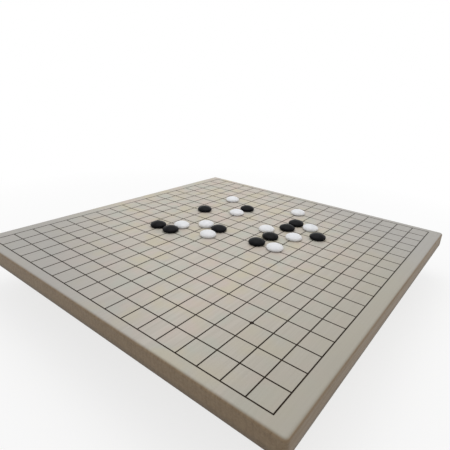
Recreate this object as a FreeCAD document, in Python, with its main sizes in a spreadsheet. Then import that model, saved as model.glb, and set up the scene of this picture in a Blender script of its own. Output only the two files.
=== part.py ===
import FreeCAD, Part

import itertools
import math
import os
import re

import Sketcher

# A go board on a low case with two stone drawers, as a set of separate pieces.
#
# Axes: X runs across the board, Y from the front player to the rear one, Z up.
# The origin is on the table, under the centre of the board.
# The case stands on four rubber feet, well inside the board's edges, and carries
# two drawers back to back: the front one opens towards -Y with the black stones,
# the rear one towards +Y with the white ones.
#
# Every driving dimension is a cell of the sheet below, in millimetres.
# Lengths in expressions are written with the cells' own names.

SIZES = [
    # name, millimetres or a count, meaning
    ("board_width", 430, "playing board across, X"),
    ("board_length", 452, "playing board from player to player, Y"),
    ("board_thickness", 19, "playing board, Z"),
    ("board_corner_radius", 4, "upright corners of the playing board"),
    ("board_top_round", 3, "rounded edge round the playing surface"),
    ("board_bottom_round", 1.5, "rounded edge round the board's underside"),
    ("line_count", 19, "lines each way"),
    ("margin_side", 17, "board outside the grid, left and right"),
    ("margin_end", 11.8, "board outside the grid, in front and behind"),
    ("line_width", 1.15, "printed line"),
    ("ink_thickness", 0.1, "lacquer film of the print"),
    ("star_diameter", 4, "handicap dot"),
    ("star_step", 6, "lines from the centre dot to the outer ones"),
    ("stone_gap", 0.4, "between the stones or points that lie closest together"),
    ("stone_thickness", 7.4, "stone at its middle"),
    ("stone_rim_radius", 2.4, "rounded rim of a stone"),
    ("stone_seat_gap", 0.1, "under a resting stone"),
    ("overhang_side", 17, "board past the case, left and right"),
    ("overhang_end", 38, "board past the case, in front and behind"),
    ("panel_thickness", 5, "bottom panel"),
    ("rail_thickness", 14, "side rail"),
    ("bulkhead_thickness", 12, "wall between the two drawers"),
    ("stretcher_width", 40, "top stretcher, along Y"),
    ("stretcher_thickness", 6, "top stretcher, Z"),
    ("housing_depth", 5, "how far stretchers and bulkhead enter the side rails"),
    ("joint_gap", 0.1, "glue line in housings and grooves"),
    ("runner_height", 9, "drawer runner, Z"),
    ("runner_level", 10.5, "underside of the runners above the bottom panel"),
    ("runner_end_gap", 2, "between a runner's end and the drawer front or bulkhead"),
    ("runner_screw_inset", 18, "runner screws from the runner's ends"),
    ("drawer_side_gap", 1, "between a drawer side and the side rail"),
    ("drawer_front_gap", 1, "round a drawer front"),
    ("drawer_front_thickness", 12, "drawer front"),
    ("drawer_edge_round", 1, "outer edges of a drawer front"),
    ("drawer_back_gap", 3, "between a drawer's back and the bulkhead"),
    ("drawer_lift", 2, "drawer box above the bottom panel"),
    ("drawer_side_thickness", 10, "drawer side"),
    ("drawer_top_gap", 4, "between the drawer sides and the top stretchers"),
    ("drawer_back_thickness", 8, "drawer back"),
    ("drawer_back_rise", 2.5, "drawer back above the drawer sides"),
    ("runner_groove_depth", 5, "groove for the runner in a drawer side"),
    ("runner_groove_gap", 0.5, "between a runner and the bottom of its groove"),
    ("runner_top_gap", 0.2, "groove above the runner"),
    ("runner_under_gap", 0.4, "groove below the runner"),
    ("bottom_thickness", 3, "drawer bottom"),
    ("bottom_level", 2, "drawer bottom above the lower edge of the drawer sides"),
    ("bottom_bite", 4, "how far the drawer bottom enters its grooves"),
    ("divider_thickness", 6, "divider in a drawer"),
    ("divider_top_gap", 2.9, "between a divider and the drawer stop"),
    ("captures_width", 90, "compartment for captured stones, X"),
    ("stop_length", 200, "drawer stop, X"),
    ("stop_width", 8, "drawer stop, Y"),
    ("stop_drop", 3.5, "drawer stop below the stretcher"),
    ("stop_inset", 22.8, "drawer stop from the end of the case, which sets a drawer's travel"),
    ("knob_diameter", 14, "knob at its widest"),
    ("knob_neck_diameter", 8, "knob at its neck"),
    ("knob_reach", 12, "knob out of the drawer front"),
    ("knob_neck_length", 4, "knob's neck"),
    ("knob_flare", 1.5, "from the knob's neck to its widest"),
    ("knob_crown", 2, "bevel round the knob's end"),
    ("foot_diameter", 20, "rubber foot"),
    ("foot_height", 5, "rubber foot"),
    ("foot_round", 1, "lower edge of a rubber foot"),
    ("foot_screw_wall", 1.25, "side rail between a foot screw and the drawer bay"),
    ("foot_inset_end", 24, "foot centres from the ends of the case"),
    ("foot_recess_diameter", 9, "recess for the screw's head in a foot"),
    ("foot_recess_depth", 3, "recess for the screw's head in a foot"),
    ("screw_diameter", 3.5, "wood screws"),
    ("screw_head_diameter", 7, "wood screws"),
    ("screw_gap", 0.1, "between a screw and its hole, across"),
    ("screw_tip_gap", 1, "hole beyond the tip of a screw"),
    ("pan_head_height", 2, "foot and knob screws"),
    ("board_screw_bite", 12, "board screws in the board"),
    ("board_screw_inset", 8, "board screws from the ends of the case"),
    ("board_screw_step", 140, "between board screws"),
    ("panel_screw_bite", 18, "panel and foot screws above the bottom panel"),
    ("panel_screw_step", 110, "between panel screws"),
    ("runner_screw_bite", 10, "runner screws in the side rail"),
    ("knob_screw_bite", 7, "knob screw in the knob"),
    ("heap_gap", 0.6, "between neighbouring stones in a drawer"),
    ("heap_headroom", 4.9, "between the stones in a drawer and the top stretchers, at least"),
]

# Stones in play: lines from the left edge and from the front edge, counted from 1.
# A part of a line is how far a stone lies off its point.
BLACK_IN_PLAY = [
    (7.97, 14.2), (5.9, 12.1), (11.99, 14.12), (11.97, 13.06), (5.82, 8.1),
    (6.92, 8.09), (8.96, 10.09), (11.94, 11.23), (11.81, 10.07), (14.08, 13.07),
]
WHITE_IN_PLAY = [
    (5.9, 15.1), (7.94, 13.07), (11.03, 16), (6.88, 9.02), (7.9, 10.11),
    (11.13, 12.02), (13.07, 14.04), (9.04, 9.04), (13.04, 12.06), (12.98, 10.13),
]

# A full set, which is shared between the board and the drawers.
BLACK_STONES = 181
WHITE_STONES = 180

# Levels above the table.
CASE_FLOOR = "(foot_height + panel_thickness)"
BOARD_UNDERSIDE = f"({CASE_FLOOR} + case_height)"
BOARD_TOP = f"({BOARD_UNDERSIDE} + board_thickness)"
STRETCHER_UNDERSIDE = f"({BOARD_UNDERSIDE} - stretcher_thickness)"
DRAWER_FOOT = f"({CASE_FLOOR} + drawer_lift)"
BOTTOM_TOP = f"({DRAWER_FOOT} + bottom_level + joint_gap + bottom_thickness)"
KNOB_LEVEL = f"(({CASE_FLOOR} + {STRETCHER_UNDERSIDE}) / 2)"

# Across the case.
BAY_WIDTH = "(base_width - 2 * rail_thickness)"
HOUSED_LENGTH = f"({BAY_WIDTH} + 2 * (housing_depth - joint_gap))"
RAIL_CENTRE = "(base_width / 2 - rail_thickness / 2)"
RUNNER_WIDTH = "(drawer_side_gap + runner_groove_depth - runner_groove_gap)"
DRAWER_WIDTH = f"({BAY_WIDTH} - 2 * drawer_side_gap)"
FOOT_INSET_SIDE = "(rail_thickness - foot_screw_wall - screw_diameter / 2)"

# Along the case, measured outwards from its centre.
FRONT_INNER = "(base_length / 2 - drawer_front_thickness)"
BACK_OUTER = "(bulkhead_thickness / 2 + drawer_back_gap)"
BACK_INNER = f"({BACK_OUTER} + drawer_back_thickness)"
RUNNER_START = "(bulkhead_thickness / 2 + runner_end_gap)"
RUNNER_LENGTH = f"({FRONT_INNER} - runner_end_gap - {RUNNER_START})"
SIDE_LENGTH = f"({FRONT_INNER} - {BACK_OUTER})"

doc = FreeCAD.newDocument("GoBoard")
sheet = doc.addObject("Spreadsheet::Sheet", "sizes")
sheet_rows = itertools.count(1)

UPRIGHT = FreeCAD.Vector(0, 0, 1)
pieces = {}


def add_size(name, value, meaning):
    """A row of the sheet, with the size's name as its cell's alias."""
    row = next(sheet_rows)
    sheet.set(f"A{row}", name)
    sheet.set(f"B{row}", str(round(value, 6)))
    sheet.setAlias(f"B{row}", name)
    sheet.set(f"C{row}", meaning)


def cells(text):
    """The expression with each size's name pointing at its cell."""
    return re.sub(r"[a-z]\w+", r"sizes.\g<0>", text)


def size(name):
    """The number in a size's cell."""
    return float(getattr(sheet, name))


def bind(item, path, text):
    item.setExpression(path, cells(text))


def turned(degrees):
    """A turn about the upright axis."""
    return FreeCAD.Rotation(UPRIGHT, degrees)


def place(item, label, at, rotation=FreeCAD.Rotation()):
    """Labels a finished sub-part and puts it in the assembly."""
    item.Label = label
    item.Placement = FreeCAD.Placement(FreeCAD.Vector(), rotation)
    for axis, text in zip("xyz", at):
        bind(item, f"Placement.Base.{axis}", text)
    pieces[label] = item


# ---- helpers for pieces made from sketches ----


def new_body(label):
    return doc.addObject("PartDesign::Body", label)


def origin_plane(body, role):
    return next(item for item in body.Origin.OriginFeatures if item.Role == role)


def new_sketch(body, name, role="XY_Plane", shift=("0", "0", "0")):
    """A sketch on one of the body's origin planes, shifted in its own frame."""
    sketch = body.newObject("Sketcher::SketchObject", name)
    sketch.AttachmentSupport = [(origin_plane(body, role), "")]
    sketch.MapMode = "FlatFace"
    for axis, text in zip("xyz", shift):
        bind(sketch, f"AttachmentOffset.Base.{axis}", text)
    return sketch


def dimension(sketch, name, constraint, text):
    """Adds a dimension to a sketch and ties it to the sheet."""
    index = sketch.addConstraint(constraint)
    sketch.renameConstraint(index, name)
    bind(sketch, f"Constraints.{name}", text)


def add_rectangle(sketch, width, height):
    """A rectangle about the sketch's origin."""
    corners = [FreeCAD.Vector(x, y, 0) for x, y in ((-1, -1), (1, -1), (1, 1), (-1, 1))]
    for index in range(4):
        sketch.addGeometry(Part.LineSegment(corners[index], corners[(index + 1) % 4]), False)
    for index in range(4):
        sketch.addConstraint(Sketcher.Constraint("Coincident", index, 2, (index + 1) % 4, 1))
        sketch.addConstraint(Sketcher.Constraint(("Horizontal", "Vertical")[index % 2], index))
    sketch.addConstraint(Sketcher.Constraint("Symmetric", 0, 1, 2, 1, -1, 1))
    dimension(sketch, "width", Sketcher.Constraint("DistanceX", 0, 1, 0, 2, 2), width)
    dimension(sketch, "height", Sketcher.Constraint("DistanceY", 1, 1, 1, 2, 2), height)


def add_circles(sketch, diameter, centres):
    """Circles about the given centres, each a pair of expressions."""
    for index, (x, y) in enumerate(centres):
        circle = sketch.addGeometry(Part.Circle(FreeCAD.Vector(), UPRIGHT, 1), False)
        dimension(sketch, f"across_{index}", Sketcher.Constraint("DistanceX", -1, 1, circle, 3, 0), x)
        dimension(sketch, f"along_{index}", Sketcher.Constraint("DistanceY", -1, 1, circle, 3, 0), y)
        dimension(sketch, f"bore_{index}", Sketcher.Constraint("Diameter", circle, 2), diameter)


def add_pad(body, sketch, length):
    pad = body.newObject("PartDesign::Pad", sketch.Name + "_pad")
    pad.Profile = sketch
    bind(pad, "Length", length)
    return pad


def add_pocket(body, sketch, depth):
    """Cuts a sketch's outline into the body, along the sketch's normal."""
    pocket = body.newObject("PartDesign::Pocket", sketch.Name + "_pocket")
    pocket.Profile = sketch
    pocket.Reversed = True
    bind(pocket, "Length", depth)
    return pocket


def add_countersinks(body, sketch):
    """Through holes with countersunk mouths for wood screws, cut along the sketch's normal."""
    doc.recompute()
    hole = body.newObject("PartDesign::Hole", sketch.Name + "_holes")
    hole.Profile = sketch
    hole.Reversed = True
    hole.Threaded = False
    hole.DepthType = "ThroughAll"
    hole.HoleCutType = "Countersink"
    hole.HoleCutCustomValues = True
    hole.HoleCutCountersinkAngle = 90
    bind(hole, "Diameter", "screw_diameter + screw_gap")
    bind(hole, "HoleCutDiameter", "screw_head_diameter + screw_gap")
    return hole


def flat_edges(shape, level, axis="z"):
    """Names of the edges that lie in the plane at one level."""
    near = 1e-6
    names = []
    for index, edge in enumerate(shape.Edges, start=1):
        if all(abs(getattr(vertex.Point, axis) - level) < near for vertex in edge.Vertexes):
            names.append(f"Edge{index}")
    return names


def upright_edges(shape):
    """Names of the straight edges that run along Z."""
    near = 1e-6
    names = []
    for index, edge in enumerate(shape.Edges, start=1):
        ends = [vertex.Point for vertex in edge.Vertexes]
        if len(ends) == 2 and math.hypot(ends[1].x - ends[0].x, ends[1].y - ends[0].y) < near:
            names.append(f"Edge{index}")
    return names


def add_fillet(body, base, edges, radius):
    fillet = body.newObject("PartDesign::Fillet", base.Name + "_fillet")
    fillet.Base = (base, edges)
    bind(fillet, "Radius", radius)
    doc.recompute()
    return fillet


def turned_body(label, outline):
    """A body turned about Z from a closed outline of (radius, height) pairs of expressions."""
    body = new_body(label)
    sketch = new_sketch(body, label + "_outline", "XZ_Plane")
    count = len(outline)
    spread = [FreeCAD.Vector(math.cos(k), math.sin(k), 0) for k in range(count)]
    for index in range(count):
        sketch.addGeometry(Part.LineSegment(spread[index], spread[(index + 1) % count]), False)
    for index, (radius, height) in enumerate(outline):
        sketch.addConstraint(Sketcher.Constraint("Coincident", index, 1, (index - 1) % count, 2))
        dimension(sketch, f"radius_{index}", Sketcher.Constraint("DistanceX", -1, 1, index, 1, 0), radius)
        dimension(sketch, f"level_{index}", Sketcher.Constraint("DistanceY", -1, 1, index, 1, 0), height)
    revolution = body.newObject("PartDesign::Revolution", label + "_turned")
    revolution.Profile = sketch
    revolution.ReferenceAxis = (sketch, ["V_Axis"])
    revolution.Angle = 360
    return body


def slab(label, length, width, height):
    """A plain rectangular piece, centred on its base."""
    body = new_body(label)
    outline = new_sketch(body, label + "_outline")
    add_rectangle(outline, length, width)
    add_pad(body, outline, height)
    return body


# ---- helpers for pieces made from plain blocks ----


def block(label, length, width, height, shift=("0", "0", "0")):
    """A block centred on X and Y, standing on its own base level, and then shifted."""
    box = doc.addObject("Part::Box", label)
    bind(box, "Length", length)
    bind(box, "Width", width)
    bind(box, "Height", height)
    bind(box, "Placement.Base.x", f"({shift[0]}) - ({length}) / 2")
    bind(box, "Placement.Base.y", f"({shift[1]}) - ({width}) / 2")
    bind(box, "Placement.Base.z", shift[2])
    return box


def drill(label, diameter, depth, at, axis):
    """A round tool that starts at a point and runs along an axis."""
    tool = doc.addObject("Part::Cylinder", label)
    tool.Placement = FreeCAD.Placement(FreeCAD.Vector(), FreeCAD.Rotation(UPRIGHT, FreeCAD.Vector(*axis)))
    bind(tool, "Radius", f"({diameter}) / 2")
    bind(tool, "Height", depth)
    for name, text in zip("xyz", at):
        bind(tool, f"Placement.Base.{name}", text)
    return tool


def carve(label, base, tools):
    """The base without the tools."""
    cut = doc.addObject("Part::Cut", label)
    cut.Base = base
    if len(tools) == 1:
        cut.Tool = tools[0]
    else:
        cut.Tool = doc.addObject("Part::MultiFuse", label + "_tools")
        cut.Tool.Shapes = tools
    return cut


# ---- the playing board and its print ----

BOARD_SCREWS = [
    (f"{step} * board_screw_step", f"{end} * (base_length / 2 - board_screw_inset)")
    for end in (-1, 1)
    for step in (-1, 0, 1)
]


def playing_board():
    body = new_body("playing_board")
    outline = new_sketch(body, "board_outline")
    add_rectangle(outline, "board_width", "board_length")
    pad = add_pad(body, outline, "board_thickness")
    doc.recompute()
    corners = add_fillet(body, pad, upright_edges(pad.Shape), "board_corner_radius")
    top = add_fillet(body, corners, flat_edges(corners.Shape, size("board_thickness")), "board_top_round")
    add_fillet(body, top, flat_edges(top.Shape, 0), "board_bottom_round")
    pilots = new_sketch(body, "board_pilots")
    add_circles(pilots, "screw_diameter + screw_gap", BOARD_SCREWS)
    add_pocket(body, pilots, "board_screw_bite + screw_tip_gap")
    place(body, "playing_board", ("0", "0", BOARD_UNDERSIDE))


def printed_grid():
    """Lines and star points as one film: a sheet with a window for each square, and nine dots."""
    count = int(size("line_count"))
    steps = (size("pitch_across"), size("pitch_along"))
    line = size("line_width")
    film = size("ink_thickness")
    reach = [(count - 1) * step / 2 for step in steps]

    def outline(x, y, width, length):
        corners = [(x, y), (x + width, y), (x + width, y + length), (x, y + length), (x, y)]
        return Part.makePolygon([FreeCAD.Vector(*corner) for corner in corners])

    low = [-side - line / 2 for side in reach]
    whole = outline(*low, 2 * reach[0] + line, 2 * reach[1] + line)
    windows = [
        outline(low[0] + i * steps[0] + line, low[1] + j * steps[1] + line, steps[0] - line, steps[1] - line)
        for i in range(count - 1)
        for j in range(count - 1)
    ]
    lines = Part.makeFace([whole] + windows, "Part::FaceMakerBullseye").extrude(UPRIGHT * film)
    star_steps = [side * size("star_step") for side in (-1, 0, 1)]
    dots = [
        Part.makeCylinder(size("star_diameter") / 2, film, FreeCAD.Vector(i * steps[0], j * steps[1], 0))
        for i in star_steps
        for j in star_steps
    ]
    grid = doc.addObject("Part::Feature", "grid_lines")
    grid.Shape = lines.fuse(dots).removeSplitter()
    place(grid, "grid_lines", ("0", "0", BOARD_TOP))


# ---- stones ----


def dome_radius():
    """Radius of a stone's domed top, which runs smoothly into its rim."""
    thickness = size("stone_thickness")
    rim = size("stone_rim_radius")
    reach = size("stone_diameter") / 2 - rim
    return (reach**2 + thickness**2 - 2 * thickness * rim) / (2 * (thickness - 2 * rim))


def stone_body(label):
    """A stone with a flat underside, turned from a rim arc and a dome about the middle of its base."""
    body = new_body(label)
    sketch = new_sketch(body, label + "_profile", "XZ_Plane")
    thickness = size("stone_thickness")
    rim = size("stone_rim_radius")
    reach = size("stone_diameter") / 2 - rim
    dome = dome_radius()
    foot = FreeCAD.Vector()
    dome_centre = FreeCAD.Vector(0, thickness - dome, 0)
    rim_centre = FreeCAD.Vector(reach, rim, 0)
    turn = math.atan2(rim - dome_centre.y, reach)
    upwards = math.pi / 2
    sketch.addGeometry(Part.LineSegment(foot, FreeCAD.Vector(0, thickness, 0)), False)
    sketch.addGeometry(Part.ArcOfCircle(Part.Circle(dome_centre, UPRIGHT, dome), turn, upwards), False)
    sketch.addGeometry(Part.ArcOfCircle(Part.Circle(rim_centre, UPRIGHT, rim), -upwards, turn), False)
    sketch.addGeometry(Part.LineSegment(foot, FreeCAD.Vector(reach, 0, 0)), False)
    for kind in (
        ("Coincident", 0, 1, -1, 1),
        ("Coincident", 3, 1, -1, 1),
        ("Coincident", 0, 2, 1, 2),
        ("Tangent", 1, 1, 2, 2),
        ("Tangent", 3, 2, 2, 1),
        ("Vertical", 0),
        ("Horizontal", 3),
        ("PointOnObject", 1, 3, -2),
    ):
        sketch.addConstraint(Sketcher.Constraint(*kind))
    dimension(sketch, "thickness", Sketcher.Constraint("DistanceY", 0, 1, 0, 2, thickness), "stone_thickness")
    dimension(sketch, "rim", Sketcher.Constraint("Radius", 2, rim), "stone_rim_radius")
    dimension(
        sketch, "reach", Sketcher.Constraint("DistanceX", -1, 1, 2, 3, reach),
        "stone_diameter / 2 - stone_rim_radius",
    )
    revolution = body.newObject("PartDesign::Revolution", label + "_turned")
    revolution.Profile = sketch
    revolution.ReferenceAxis = (sketch, ["V_Axis"])
    revolution.Angle = 360
    return body


def stones_in_play(colour, points):
    level = f"{BOARD_TOP} + ink_thickness + stone_seat_gap"
    for number, (across, along) in enumerate(points, start=1):
        label = f"{colour}_stone_{number:02d}"
        x = f"({across} - (line_count + 1) / 2) * pitch_across"
        y = f"({along} - (line_count + 1) / 2) * pitch_along"
        place(stone_body(label), label, (x, y, level))


# ---- the case ----

FOOT_POINTS = [
    (f"{side} * (base_width / 2 - {FOOT_INSET_SIDE})", f"{end} * (base_length / 2 - foot_inset_end)")
    for side in (-1, 1)
    for end in (-1, 1)
]
RAIL_SCREW_STEPS = (-1, 1)
PANEL_SCREWS = [
    (f"{side} * {RAIL_CENTRE}", f"{step} * panel_screw_step") for side in (-1, 1) for step in RAIL_SCREW_STEPS
]
PANEL_SCREWS += [(f"{step} * panel_screw_step", "0") for step in (-1, 0, 1)]
PILOT = "screw_diameter + screw_gap"
PILOT_DEPTH = "panel_screw_bite + screw_tip_gap"


def bottom_panel():
    body = new_body("bottom_panel")
    outline = new_sketch(body, "panel_outline")
    add_rectangle(outline, "base_width", "base_length")
    add_pad(body, outline, "panel_thickness")
    foot_holes = new_sketch(body, "panel_foot_holes")
    add_circles(foot_holes, PILOT, FOOT_POINTS)
    add_pocket(body, foot_holes, "panel_thickness")
    screw_holes = new_sketch(body, "panel_screw_holes")
    add_circles(screw_holes, PILOT, PANEL_SCREWS)
    add_countersinks(body, screw_holes)
    place(body, "bottom_panel", ("0", "0", "foot_height"))
    return body, foot_holes, screw_holes


def side_rail(label, side):
    """The rail at X = -1 or +1 times its distance; the second one is the first, turned round."""
    stock = block(label + "_stock", "rail_thickness", "base_length", "case_height")
    inner = "rail_thickness / 2"
    tools = [
        block(
            label + "_bulkhead_housing", "2 * housing_depth", "bulkhead_thickness + 2 * joint_gap",
            "case_height", (inner, "0", "0"),
        ),
    ]
    for end in (-1, 1):
        tools.append(
            block(
                f"{label}_stretcher_housing_{end + 1}", "2 * housing_depth",
                "2 * (stretcher_width + joint_gap)", "stretcher_thickness",
                (inner, f"{end} * base_length / 2", "case_height - stretcher_thickness"),
            )
        )
        tools.append(
            drill(
                f"{label}_foot_pilot_{end + 1}", PILOT, PILOT_DEPTH,
                (
                    f"{FOOT_INSET_SIDE} - rail_thickness / 2",
                    f"{end} * (base_length / 2 - foot_inset_end)", "0",
                ),
                (0, 0, 1),
            )
        )
        for step, start in enumerate(("runner_screw_inset", f"{RUNNER_LENGTH} - runner_screw_inset")):
            tools.append(
                drill(
                    f"{label}_runner_pilot_{end + 1}_{step}", PILOT, "runner_screw_bite + screw_tip_gap",
                    (inner, f"{end} * ({RUNNER_START} + {start})", "runner_level + runner_height / 2"),
                    (-1, 0, 0),
                )
            )
    for step in RAIL_SCREW_STEPS:
        tools.append(
            drill(
                f"{label}_panel_pilot_{step + 1}", PILOT, PILOT_DEPTH,
                ("0", f"{step} * panel_screw_step", "0"), (0, 0, 1),
            )
        )
    rail = carve(label, stock, tools)
    place(rail, label, (f"{side} * {RAIL_CENTRE}", "0", CASE_FLOOR), turned(0 if side < 0 else 180))


def centre_bulkhead():
    stock = block("bulkhead_stock", HOUSED_LENGTH, "bulkhead_thickness", "case_height")
    tools = []
    for step in (-1, 0, 1):
        at = (f"{step} * panel_screw_step", "0", "0")
        tools.append(drill(f"bulkhead_pilot_{step + 1}", PILOT, PILOT_DEPTH, at, (0, 0, 1)))
    place(carve("centre_bulkhead", stock, tools), "centre_bulkhead", ("0", "0", CASE_FLOOR))


def top_stretcher(label, end):
    """Ties the side rails under the board and takes the screws that hold it."""
    body = new_body(label)
    outline = new_sketch(body, label + "_outline")
    add_rectangle(outline, HOUSED_LENGTH, "stretcher_width")
    add_pad(body, outline, "stretcher_thickness")
    holes = new_sketch(body, label + "_screws")
    across = "(stretcher_width / 2 - board_screw_inset)"
    add_circles(holes, PILOT, [(f"{step} * board_screw_step", f"{end} * {across}") for step in (-1, 0, 1)])
    add_countersinks(body, holes)
    place(body, label, ("0", f"{end} * (base_length / 2 - stretcher_width / 2)", STRETCHER_UNDERSIDE))
    return body, holes


def runner(label, side, end):
    """A hardwood strip on a side rail that a drawer side hangs on."""
    body = new_body(label)
    outline = new_sketch(body, label + "_outline", "YZ_Plane")
    add_rectangle(outline, RUNNER_LENGTH, "runner_height")
    add_pad(body, outline, RUNNER_WIDTH)
    holes = new_sketch(body, label + "_screws", "YZ_Plane")
    reach = f"({RUNNER_LENGTH} / 2 - runner_screw_inset)"
    add_circles(holes, PILOT, [(f"{step} * {reach}", "0") for step in (-1, 1)])
    add_countersinks(body, holes)
    inner_face = f"({BAY_WIDTH} / 2 - {RUNNER_WIDTH})"
    middle = f"({RUNNER_START} + {RUNNER_LENGTH} / 2)"
    level = f"{CASE_FLOOR} + runner_level + runner_height / 2"
    at = (f"{side} * {inner_face}", f"{end} * {middle}", level)
    place(body, label, at, turned(0 if side > 0 else 180))
    return body, holes


def drawer_stop(label, end):
    across = f"{end} * (base_length / 2 - stop_inset - stop_width / 2)"
    at = ("0", across, f"{STRETCHER_UNDERSIDE} - stop_drop")
    place(slab(label, "stop_length", "stop_width", "stop_drop"), label, at)


def rubber_foot():
    """A foot about its own axis, open below for its screw's head."""
    bore = f"({PILOT}) / 2"
    return turned_body(
        "rubber_foot",
        [
            (bore, "foot_height"),
            (bore, "foot_recess_depth"),
            ("foot_recess_diameter / 2", "foot_recess_depth"),
            ("foot_recess_diameter / 2", "0"),
            ("foot_diameter / 2 - foot_round", "0"),
            ("foot_diameter / 2", "foot_round"),
            ("foot_diameter / 2", "foot_height"),
        ],
    )


# ---- a drawer; the rear one is the front one turned half round ----


def drawer_face(label, end, turn):
    body = new_body(label)
    outline = new_sketch(body, label + "_outline", "XZ_Plane")
    clear_height = f"({STRETCHER_UNDERSIDE} - {CASE_FLOOR})"
    add_rectangle(outline, f"{BAY_WIDTH} - 2 * drawer_front_gap", f"{clear_height} - 2 * drawer_front_gap")
    pad = add_pad(body, outline, "drawer_front_thickness")
    doc.recompute()
    face = flat_edges(pad.Shape, -size("drawer_front_thickness"), axis="y")
    add_fillet(body, pad, face, "drawer_edge_round")
    groove_height = "(bottom_thickness + 2 * joint_gap)"
    groove_level = f"({DRAWER_FOOT} + bottom_level + {groove_height} / 2 - {KNOB_LEVEL})"
    groove = new_sketch(body, label + "_groove", "XZ_Plane", ("0", groove_level, "0"))
    add_rectangle(groove, "drawer_inside_width + 2 * (bottom_bite + joint_gap)", groove_height)
    add_pocket(body, groove, "bottom_bite + joint_gap")
    screw_hole = new_sketch(body, label + "_screw_hole", "XZ_Plane")
    add_circles(screw_hole, PILOT, [("0", "0")])
    add_pocket(body, screw_hole, "drawer_front_thickness")
    place(body, label, ("0", f"{end} * {FRONT_INNER}", KNOB_LEVEL), turn)
    return body, screw_hole


def drawer_side(label, side, end, turn):
    """A side with a groove outside for the runner and one inside for the drawer bottom."""
    stock = block(label + "_stock", "drawer_side_thickness", SIDE_LENGTH, "drawer_side_height")
    runner_foot = f"{CASE_FLOOR} + runner_level - runner_under_gap - {DRAWER_FOOT}"
    tools = [
        block(
            label + "_runner_groove", "2 * runner_groove_depth", SIDE_LENGTH,
            "runner_height + runner_top_gap + runner_under_gap",
            (f"{side} * drawer_side_thickness / 2", "0", runner_foot),
        ),
        block(
            label + "_bottom_groove", "2 * (bottom_bite + joint_gap)",
            "drawer_inside_length + 2 * (bottom_bite + joint_gap)", "bottom_thickness + 2 * joint_gap",
            (f"-{side} * drawer_side_thickness / 2", "-drawer_back_thickness / 2", "bottom_level"),
        ),
    ]
    outwards = f"({DRAWER_WIDTH} / 2 - drawer_side_thickness / 2)"
    at = (
        f"{-end} * {side} * {outwards}",
        f"{end} * ({BACK_OUTER} + {SIDE_LENGTH} / 2)",
        DRAWER_FOOT,
    )
    place(carve(label, stock, tools), label, at, turn)


def drawer_back(label, end, turn):
    stock = block(
        label + "_stock", "drawer_inside_width", "drawer_back_thickness",
        "drawer_side_height + drawer_back_rise",
    )
    groove = block(
        label + "_groove", "drawer_inside_width", "2 * (bottom_bite + joint_gap)",
        "bottom_thickness + 2 * joint_gap", ("0", "-drawer_back_thickness / 2", "bottom_level"),
    )
    at = ("0", f"{end} * ({BACK_OUTER} + drawer_back_thickness / 2)", DRAWER_FOOT)
    place(carve(label, stock, [groove]), label, at, turn)


def drawer_bottom(label, end, turn):
    body = slab(
        label, "drawer_inside_width + 2 * bottom_bite", "drawer_inside_length + 2 * bottom_bite",
        "bottom_thickness",
    )
    at = ("0", f"{end} * ({BACK_INNER} + drawer_inside_length / 2)", f"{BOTTOM_TOP} - bottom_thickness")
    place(body, label, at, turn)


def drawer_divider(label, end, turn):
    """Parts the well for the set from the one for captured stones."""
    across = "(drawer_inside_width / 2 - captures_width - divider_thickness / 2)"
    at = (f"{-end} * {across}", f"{end} * ({BACK_INNER} + drawer_inside_length / 2)", BOTTOM_TOP)
    place(slab(label, "divider_thickness", "drawer_inside_length", "divider_height"), label, at, turn)


def drawer_knob(label, end, turn):
    bore = f"({PILOT}) / 2"
    bore_depth = "knob_screw_bite + screw_tip_gap"
    body = turned_body(
        label,
        [
            ("0", bore_depth),
            (bore, bore_depth),
            (bore, "0"),
            ("knob_neck_diameter / 2", "0"),
            ("knob_neck_diameter / 2", "knob_neck_length"),
            ("knob_diameter / 2", "knob_neck_length + knob_flare"),
            ("knob_diameter / 2", "knob_reach - knob_crown"),
            ("knob_diameter / 2 - knob_crown", "knob_reach"),
            ("0", "knob_reach"),
        ],
    )
    outwards = turn.multiply(FreeCAD.Rotation(FreeCAD.Vector(1, 0, 0), 90))
    place(body, label, ("0", f"{end} * base_length / 2", KNOB_LEVEL), outwards)


# ---- screws and loose stones, set by the holes and walls that hold them ----


def screw(length, countersunk):
    """A screw whose head rests at its origin and whose tip points up."""
    shank = size("screw_diameter") / 2
    head = size("screw_head_diameter") / 2
    pan = size("pan_head_height")
    point = shank
    if countersunk:
        outline = [(0, 0), (head, 0), (shank, head - shank)]
    else:
        outline = [(0, -pan), (head - pan / 2, -pan), (head, -pan / 2), (head, 0), (shank, 0)]
    outline += [(shank, length - point), (0, length)]
    corners = [FreeCAD.Vector(radius, 0, level) for radius, level in outline]
    solid = Part.Face(Part.makePolygon(corners + corners[:1])).revolve(FreeCAD.Vector(), UPRIGHT, 360)
    top = 0 if countersunk else -pan
    slot_width = head / 4
    slot_depth = head / 4
    for angle in (0, 90):
        slot = Part.makeBox(head, slot_width, slot_depth, FreeCAD.Vector(-head / 2, -slot_width / 2, top))
        slot.rotate(FreeCAD.Vector(), UPRIGHT, angle)
        solid = solid.cut(slot)
    return solid


def hole_frames(body, sketch, back=0):
    """Frames at a sketch's holes in the assembly, with Z into the hole, set back from its mouth."""
    frame = body.Placement.multiply(sketch.Placement)
    still = FreeCAD.Rotation()
    return [
        frame.multiply(FreeCAD.Placement(circle.Center - UPRIGHT * back, still)) for circle in sketch.Geometry
    ]


def group(label, shape, frames, base=None):
    """One sub-part of separate, equal solids, each in its own frame."""
    base = base or FreeCAD.Placement(frames[0].Base, FreeCAD.Rotation())
    solids = []
    for frame in frames:
        solid = shape.copy()
        solid.Placement = base.inverse().multiply(frame)
        solids.append(solid)
    item = doc.addObject("Part::Feature", label)
    item.Label = label
    item.Shape = Part.makeCompound(solids)
    item.Placement = base
    pieces[label] = item


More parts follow.
